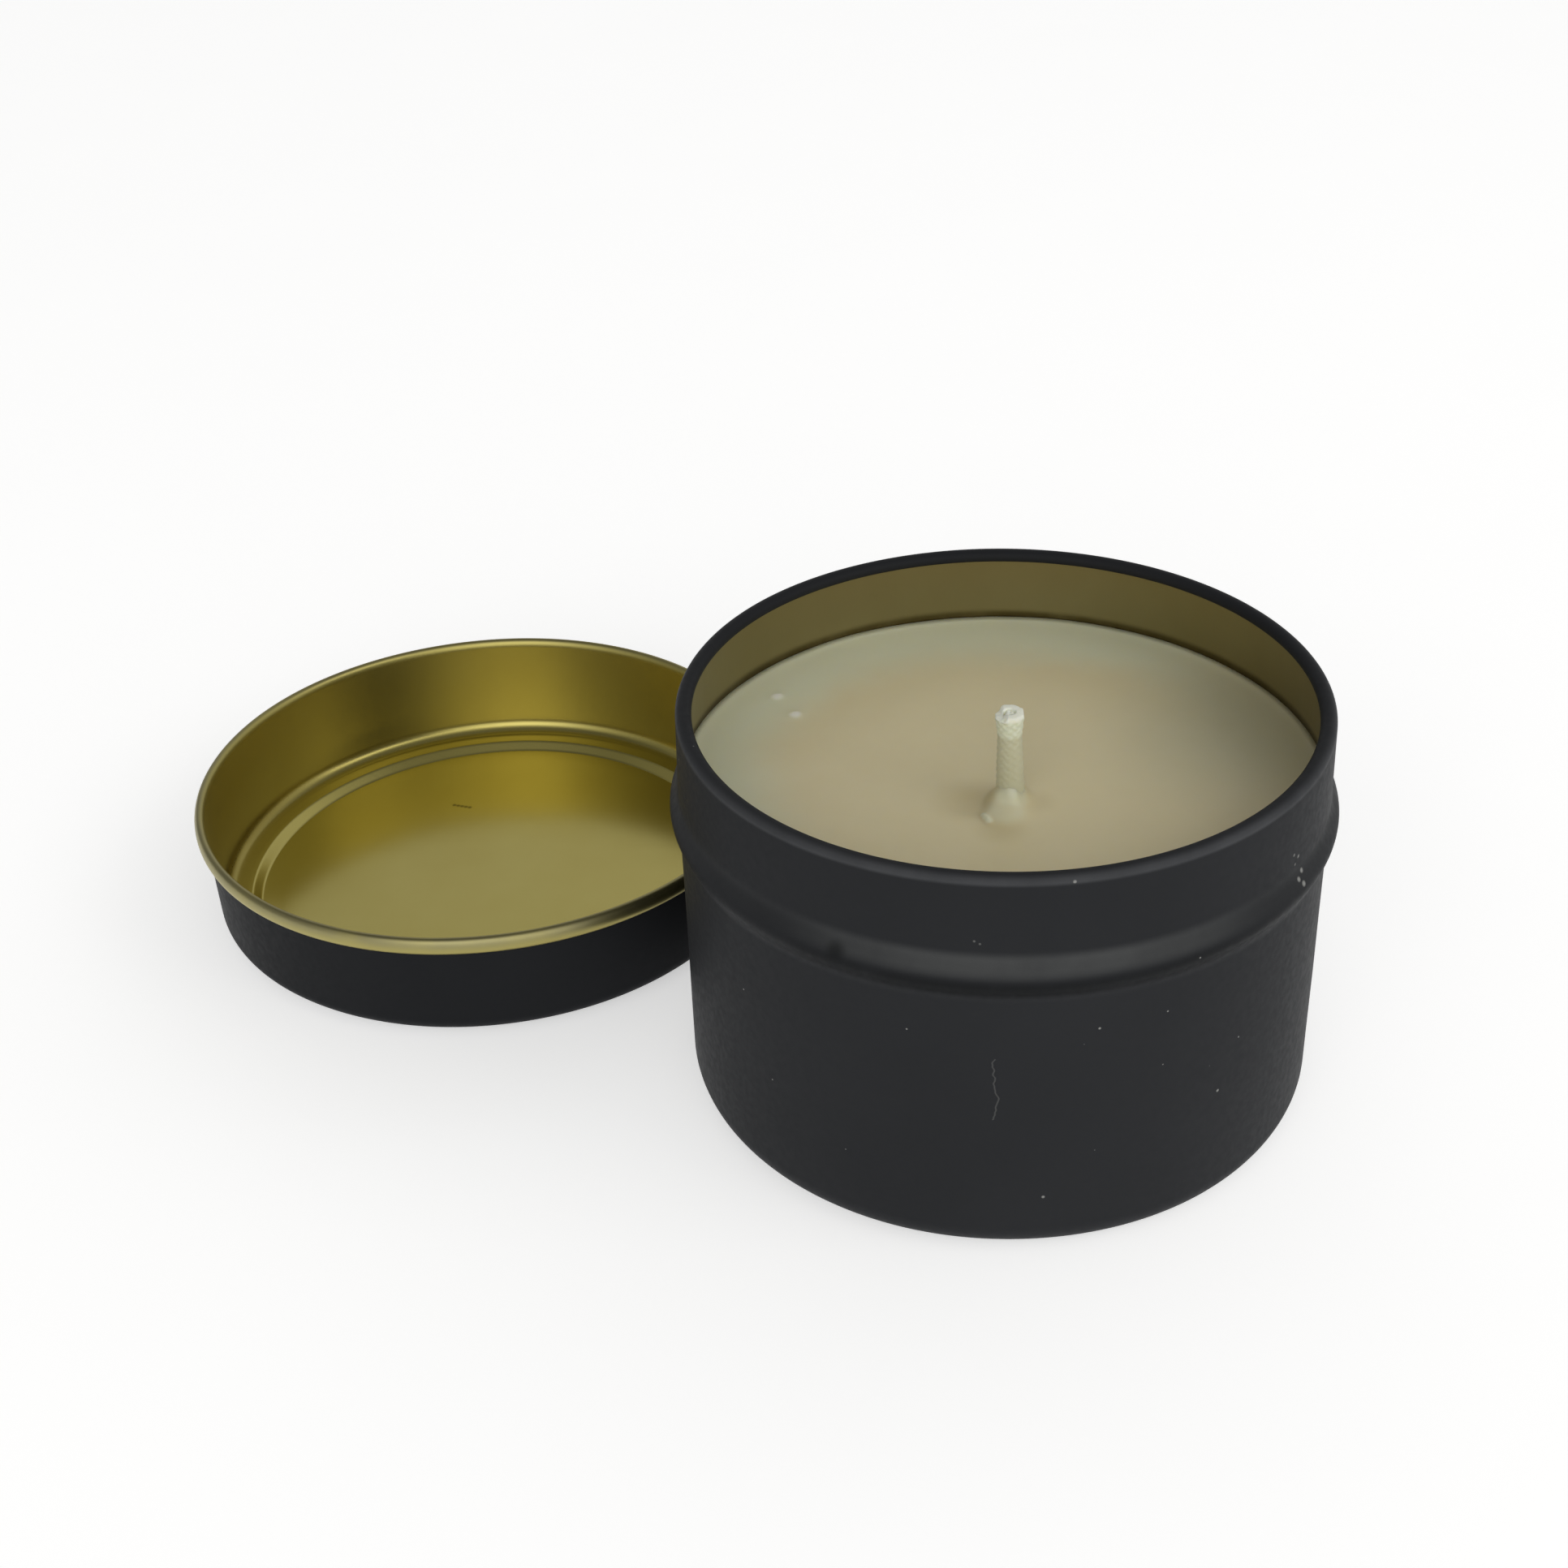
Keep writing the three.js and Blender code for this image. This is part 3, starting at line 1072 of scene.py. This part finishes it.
@dataclass
class WaxPour:
    """The poured wax, with the skin that it set with: creep up the wick and the wall, lumps and a dip.

    Its swell and ripple are each a height and a length.
    """

    tin: TinShell
    level: float
    wick: Point
    wick_radius: float = 1.4
    gap: float = 0.05
    tab_radius: float = 10.0
    tab_top: float = 1.7
    tab_fillet: float = 0.4
    collar_top: float = 7.4
    collar_wall: float = 0.3
    wall_creep: float = 0.3
    wick_creep: float = 1.7
    creep_reach: float = 0.7
    swell: Point = (0.16, 13.0)
    ripple: Point = (0.025, 2.4)
    segments: int = 256
    skin_rings: int = 90

    @classmethod
    def from_frame(cls, tin: TinShell, wick: Point) -> "WaxPour":
        """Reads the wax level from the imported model."""
        _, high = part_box("wax_fill")
        return cls(tin=tin, level=high.z / MM, wick=wick)

    def skin_height(self, x: float, y: float) -> float:
        """Height of the wax's skin.

        Args:
            x: place across.
            y: place along.

        Returns:
            Height above the tin's foot.
        """
        from_wick = Vector((x - self.wick[0], y - self.wick[1]))
        edge = self.tin.radius_at(self.level) - self.tin.sheet - self.gap - math.hypot(x, y)
        from_sleeve = max(from_wick.length - self.wick_radius, 0)
        height = self.level + self.wall_creep * math.exp(-edge / self.creep_reach)
        height += self.wick_creep * math.exp(-from_sleeve / self.creep_reach)
        for (side, front), (width, depth), turn, rise in self.lumps():
            away = from_wick - Vector((side, front))
            away.rotate(Euler((0, 0, -math.radians(turn))).to_matrix().to_2x2())
            height += rise * math.exp(-(((away.x / width) ** 2 + (away.y / depth) ** 2) ** 1.5))
        for seed, (rise, length) in ((0.3, self.swell), (1.7, self.ripple)):
            height += rise * noise.noise(Vector((x / length, y / length, seed)))
        return height

    def lumps(self) -> list[tuple[Point, Point, float, float]]:
        """Lumps and dips of the skin.

        Returns:
            For each: its place from the wick, its half width and depth, its turn in degrees, its rise.
        """
        return [
            ((-0.7, -3.2), (2.2, 2.6), 0, 0.75),
            ((0.2, -1.8), (0.9, 0.7), 0, 0.6),
            ((-1.5, -0.9), (1.2, 1.4), 0, 0.6),
            ((-4.7, -1.0), (2.4, 2.4), 0, -0.35),
            ((-2.8, -4.4), (0.35, 1.1), 25, 0.4),
            ((-28.4, 23.1), (0.6, 0.6), 0, 0.35),
            ((-25.9, 18.8), (0.8, 0.6), 0, 0.3),
        ]

    def build(self) -> bpy.types.Object:
        """Makes the wax, hollow where the wick and its tab stand.

        Returns:
            The piece.
        """
        turns = [2 * math.pi * i / self.segments for i in range(self.segments)]
        hole = self.wick_radius + self.gap / 2
        count = self.skin_rings
        rings = [self.skin_ring(turns, hole, ring / count) for ring in range(count + 1)]
        below = self.tin.wall_line(self.tin.sheet + self.gap)
        sides = [(radius, height) for radius, height in below if radius > 30 and height < self.level - 0.3]
        edge = [math.atan2(place.y, place.x) for place in rings[-1]]
        for radius, height in reversed(sides):
            rings.append([Vector((radius * math.cos(a), radius * math.sin(a), height)) * MM for a in edge])
        collar = self.wick_radius + self.gap * 2 + self.collar_wall
        pocket = [
            (self.tab_radius + self.gap, self.tin.sheet + self.gap),
            (self.tab_radius + self.gap, self.tab_top + self.gap),
            (collar + self.tab_fillet, self.tab_top + self.gap),
            (collar, self.tab_top + self.tab_fillet),
            (collar, self.collar_top),
            (hole, self.collar_top),
        ]
        for radius, height in pocket:
            rings.append([self.about_wick(radius, turn, height) for turn in turns])
        mesh = ring_solid(rings, [0] * len(rings), closed=True)
        wax = PouredWax(self.wick, self.level).make()
        return piece_from("wax_pour", mesh, (wax,), ["wax_fill"])

    def about_wick(self, radius: float, turn: float, height: float) -> Vector:
        """A place at a distance from the wick's axis, in metres."""
        return Vector(
            (self.wick[0] + radius * math.cos(turn), self.wick[1] + radius * math.sin(turn), height)
        ) * MM

    def skin_ring(self, turns: Sequence[float], hole: float, share: float) -> list[Vector]:
        """One ring of the skin, between the wick and the wall.

        Args:
            turns: angles around the wick.
            hole: radius of the first ring.
            share: 0 at the wick and 1 at the wall; rings crowd towards both.

        Returns:
            Its points, in metres.
        """
        wall = self.tin.radius_at(self.level) - self.tin.sheet - self.gap
        crowded = 0.6 * share**2.2 + 0.4 * (1 - (1 - share) ** 2) * share
        ring = []
        for turn in turns:
            along = self.wick[0] * math.cos(turn) + self.wick[1] * math.sin(turn)
            square = self.wick[0] ** 2 + self.wick[1] ** 2
            reach = -along + math.sqrt(along**2 - square + wall**2)
            place = self.about_wick(hole + (reach - hole) * crowded, turn, 0)
            place.z = self.skin_height(place.x / MM, place.y / MM) * MM
            ring.append(place)
        return ring


@dataclass
class Wick:
    """The wick: a waxed braided sleeve, spread where it was trimmed, over a core of twisted yarns."""

    centre: Point
    foot: float
    top: float
    tip_radius: float
    wax_level: float
    radius: float = 1.4
    core_radius: float = 0.6
    flare_length: float = 3.2
    wax_coat: float = 0.2
    wax_film: float = 0.16
    lean: float = -0.3
    strands: int = 8
    pitch: float = 7.5
    relief: float = 0.07
    loose_relief: float = 0.09
    snip_step: float = 0.55
    fray: float = 0.07
    segments: int = 96
    rows: int = 150

    @classmethod
    def from_frame(cls) -> "Wick":
        """Reads the wick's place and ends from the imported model."""
        low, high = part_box("wick_braid")
        middle = (low + high) / 2 / MM
        return cls(
            centre=(middle.x, middle.y),
            foot=low.z / MM,
            top=high.z / MM,
            tip_radius=(high.x - low.x) / 2 / MM,
            wax_level=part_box("wax_fill")[1].z / MM,
        )

    def braid(self, turn: float, height: float) -> float:
        """Relief of the braid: each yarn passes over one and under the next.

        Args:
            turn: angle around the wick.
            height: height above the tin's foot.

        Returns:
            0 between the yarns and up to 1 on top of one.
        """
        around = self.strands * turn / (2 * math.pi)
        along = self.strands * height / self.pitch
        left, right = around + along, around - along
        weave = math.sin(math.pi * left) * math.sin(math.pi * right)
        left_yarn = 1 - (2 * (left % 1) - 1) ** 2
        right_yarn = 1 - (2 * (right % 1) - 1) ** 2
        return max(left_yarn * (1 + weave) / 2, right_yarn * (1 - weave) / 2)

    def axis(self, height: float) -> Vector:
        """Middle of the wick at a height: upright in the wax, then leaning a little."""
        share = max(0, (height - self.wax_level) / (self.top - self.wax_level))
        return Vector((self.centre[0] + self.lean * share, self.centre[1], 0))

    def cut_height(self, x: float, y: float) -> float:
        """Height of the trimmed end: the snips met in a step on the left.

        Args:
            x: place across, from the wick's axis.
            y: place along, from the wick's axis.

        Returns:
            Height above the tin's foot.
        """
        step = 1 / (1 + math.exp(-(x + 0.75 + 0.25 * y) / 0.09))
        fray = self.fray * noise.noise(Vector((x * 2.2, y * 2.2, 4.0)))
        level = self.top + 0.1 - self.snip_step * (1 - step)
        return level + fray - 0.1 * (x**2 + y**2) / self.tip_radius**2

    def sleeve(self) -> bpy.types.Object:
        """Makes the braided sleeve.

        Returns:
            The piece.
        """
        turns = [2 * math.pi * i / self.segments for i in range(self.segments)]
        bare = self.wax_level - 1
        heights = [self.foot, self.foot + 6, self.foot + 20]
        heights += [bare + (self.top - 0.5 - bare) * i / self.rows for i in range(self.rows + 1)]
        rings = []
        for height in heights:
            spread = max(0, 1 - (self.top - height) / self.flare_length)
            relief = self.relief + self.loose_relief * spread
            ring = []
            for turn in turns:
                radius = self.radius + (self.tip_radius - self.radius) * spread**1.5
                if height > bare:
                    radius += relief * (self.braid(turn, height) - 0.75)
                    radius += self.wax_film * min(max((self.top - self.flare_length - height) / 4, 0), 1)
                    radius += self.wax_coat * math.exp(-max(height - self.wax_level, 0) / 1.6)
                x, y = radius * math.cos(turn), radius * math.sin(turn)
                ring.append(Vector((x, y, min(height, self.cut_height(x, y) - 0.1))))
            rings.append(ring)
        rim = rings[-1]
        for share in (0.97, 0.9, 0.8, 0.68, 0.56, 0.45):
            ring = [Vector((place.x * share, place.y * share, 0)) for place in rim]
            for place in ring:
                place.z = self.cut_height(place.x, place.y)
            rings.append(ring)
        inside = self.core_radius + 0.05
        for height in (self.top - 1.2, self.foot):
            rings.append(
                [Vector((inside * math.cos(turn), inside * math.sin(turn), height)) for turn in turns]
            )
        placed = [[(place + self.axis(place.z)) * MM for place in ring] for ring in rings]
        mesh = ring_solid(placed, [0] * len(placed), closed=True)
        cotton = WaxedCotton("waxed braided cotton", self.top).make()
        return piece_from("braided_sleeve", mesh, (cotton,), ["wick_braid"])

    def core(self) -> bpy.types.Object:
        """Makes the core of three twisted yarns, whose ends show in the middle of the cut.

        Returns:
            The piece.
        """
        yarns, rows, sides = 3, 160, 12
        thickness = self.core_radius * 0.46
        offset = self.core_radius - thickness
        mesh = bmesh.new()
        for yarn in range(yarns):
            rings = []
            for row in range(rows + 1):
                height = self.foot + (self.top - 0.08 - self.foot) * row / rows
                twist = 2 * math.pi * (yarn / yarns + height / 4)
                middle = Vector((offset * math.cos(twist), offset * math.sin(twist), height))
                middle += self.axis(height)
                ring = []
                for side in range(sides):
                    turn = 2 * math.pi * side / sides
                    ring.append((middle + thickness * Vector((math.cos(turn), math.sin(turn), 0))) * MM)
                rings.append(ring)
            tip = sum(rings[-1], Vector()) / sides + Vector((0, 0, 0.12 * MM))
            start = sum(rings[0], Vector()) / sides
            strand = ring_solid([[start], *rings, [tip]], [0] * (rows + 2))
            data = bpy.data.meshes.new("yarn")
            strand.to_mesh(data)
            strand.free()
            mesh.from_mesh(data)
            bpy.data.meshes.remove(data)
        cotton = WaxedCotton("twisted cotton yarn", self.top).make()
        return piece_from("core_yarns", mesh, (cotton,), ["wick_core"])


# ----------------------------------------------------------------------- studio


@dataclass
class Softbox:
    """A square studio light that faces the object."""

    name: str
    bearing: float
    elevation: float
    distance: float
    side: float
    power: float

    def build(self, target: Vector) -> None:
        """Hangs the light.

        Args:
            target: what it faces, in metres.
        """
        lamp = bpy.data.lights.new(self.name, "AREA")
        lamp.shape = "SQUARE"
        lamp.size = self.side
        lamp.energy = self.power
        lamp.color = (1.0, 0.985, 0.96)
        bearing, lift = math.radians(self.bearing), math.radians(self.elevation)
        away = Vector(
            (math.sin(bearing) * math.cos(lift), -math.cos(bearing) * math.cos(lift), math.sin(lift))
        )
        holder = bpy.data.objects.new(self.name, lamp)
        holder.location = target + away * self.distance
        holder.rotation_euler = away.to_track_quat("Z", "Y").to_euler()
        bpy.context.scene.collection.objects.link(holder)


@dataclass
class Studio:
    """Pale floor, soft lights and the camera."""

    ambient: float = 0.8
    ambient_above: float = 0.25
    ambient_front: float = 1.3
    ambient_left: float = 0.45
    lens: float = 52.88
    sensor: float = 36.0
    camera_place: tuple[float, float, float] = (-5.55, -229.73, 183.44)
    camera_turn: tuple[float, float, float] = (57.812, 1.923, 3.754)
    floor_reach: float = 6.0

    def build(self) -> None:
        """Sets up the whole studio."""
        bpy.context.scene.view_settings.view_transform = "Standard"
        self.sky()
        self.floor()
        self.camera()
        target = Vector((-20, 10, 20)) * MM
        Softbox("front softbox", bearing=-12, elevation=30, distance=0.9, side=0.5, power=0.5).build(target)
        Softbox("right softbox", bearing=70, elevation=35, distance=0.9, side=0.5, power=0.8).build(target)

    def sky(self) -> None:
        """Lights the scene from all round: brightest in front, dim on the left and overhead."""
        world = bpy.data.worlds.new("studio")
        world.use_nodes = True
        tree = world.node_tree
        tree.nodes.clear()
        height = add_node(tree, "SeparateXYZ", {"Vector": add_node(tree, "TexCoord").outputs["Generated"]})
        strength = add_node(
            tree,
            "MapRange",
            {
                "Value": height.outputs["Z"],
                "From Min": 0.6,
                "From Max": 0.9,
                "To Min": self.ambient,
                "To Max": self.ambient_above,
            },
            interpolation_type="SMOOTHSTEP",
        )
        # A wide window stands in front, and a dark wall on the left.
        front = add_node(
            tree,
            "MapRange",
            {
                "Value": height.outputs["Y"],
                "From Min": -0.2,
                "From Max": -0.9,
                "To Min": 1.0,
                "To Max": 1.0 + self.ambient_front,
            },
            interpolation_type="SMOOTHSTEP",
        )
        left = add_node(
            tree,
            "MapRange",
            {
                "Value": height.outputs["X"],
                "From Min": -0.1,
                "From Max": -0.8,
                "To Min": 1.0,
                "To Max": self.ambient_left,
            },
            interpolation_type="SMOOTHSTEP",
        )
        sides = add_node(tree, "Math", {0: left, 1: front}, operation="MULTIPLY")
        glow = add_node(tree, "Math", {0: strength, 1: sides}, operation="MULTIPLY")
        backdrop = add_node(tree, "Background", {"Strength": glow})
        add_node(tree, "OutputWorld", {"Surface": backdrop})
        bpy.context.scene.world = world

    def floor(self) -> None:
        """Lays the floor, which glows a little so that the sweep stays pale in soft light."""
        material, tree, place = new_material("studio floor")
        grit = add_node(tree, "TexNoise", {"Vector": place, "Scale": per_metre(40), "Detail": 2.0})
        tone = add_node(
            tree, "Mix", {"Factor": grit, "A": linear("F0F0EF"), "B": linear("F2F2F1")}, data_type="RGBA"
        )
        finish_material(
            tree,
            {
                "Base Color": tone,
                "Roughness": 0.9,
                "Specular IOR Level": 0.1,
                "Emission Color": (1.0, 1.0, 1.0, 1.0),
                "Emission Strength": 0.5,
            },
        )
        reach = self.floor_reach
        data = bpy.data.meshes.new("studio floor")
        corners = [(-reach, -reach, 0), (reach, -reach, 0), (reach, reach, 0), (-reach, reach, 0)]
        data.from_pydata(corners, [], [(0, 1, 2, 3)])
        data.materials.append(material)
        floor = bpy.data.objects.new("studio_floor", data)
        bpy.context.scene.collection.objects.link(floor)

    def camera(self) -> None:
        """Places the camera, looking down on the tin with the lid on its left."""
        data = bpy.data.cameras.new("camera")
        data.lens = self.lens
        data.sensor_width = self.sensor
        data.clip_start = 0.01
        camera = bpy.data.objects.new("camera", data)
        camera.location = Vector(self.camera_place) * MM
        camera.rotation_euler = Euler([math.radians(angle) for angle in self.camera_turn])
        bpy.context.scene.collection.objects.link(camera)
        bpy.context.scene.camera = camera


def dress_node(node: str, material: Material) -> None:
    """Gives a CAD node that is kept as it is a finished material.

    Args:
        node: the node's name.
        material: what it wears.
    """
    piece = frame["nodes"][node]
    for holder in piece.material_slots:
        holder.material = material


def main() -> None:
    """Builds the candle tin, its lid and the studio."""
    logging.basicConfig(level=logging.INFO, format="%(message)s")
    Studio().build()
    tin, lid, wick = TinShell.from_frame(), SlipLid.from_frame(), Wick.from_frame()
    wax = WaxPour.from_frame(tin, wick.centre)
    for piece in (tin.build(wax.level), lid.build(), wax.build(), wick.sleeve(), wick.core()):
        LOG.info("%s: %d faces", piece.name, len(piece.data.polygons))
    for node, finish in (("wick_tab", BrightTinplate()), ("wick_sticker", AdhesiveFoam())):
        dress_node(node, finish.make())
        LOG.info("%s: kept from the packed model", node)


if __name__ == "__main__":
    main()
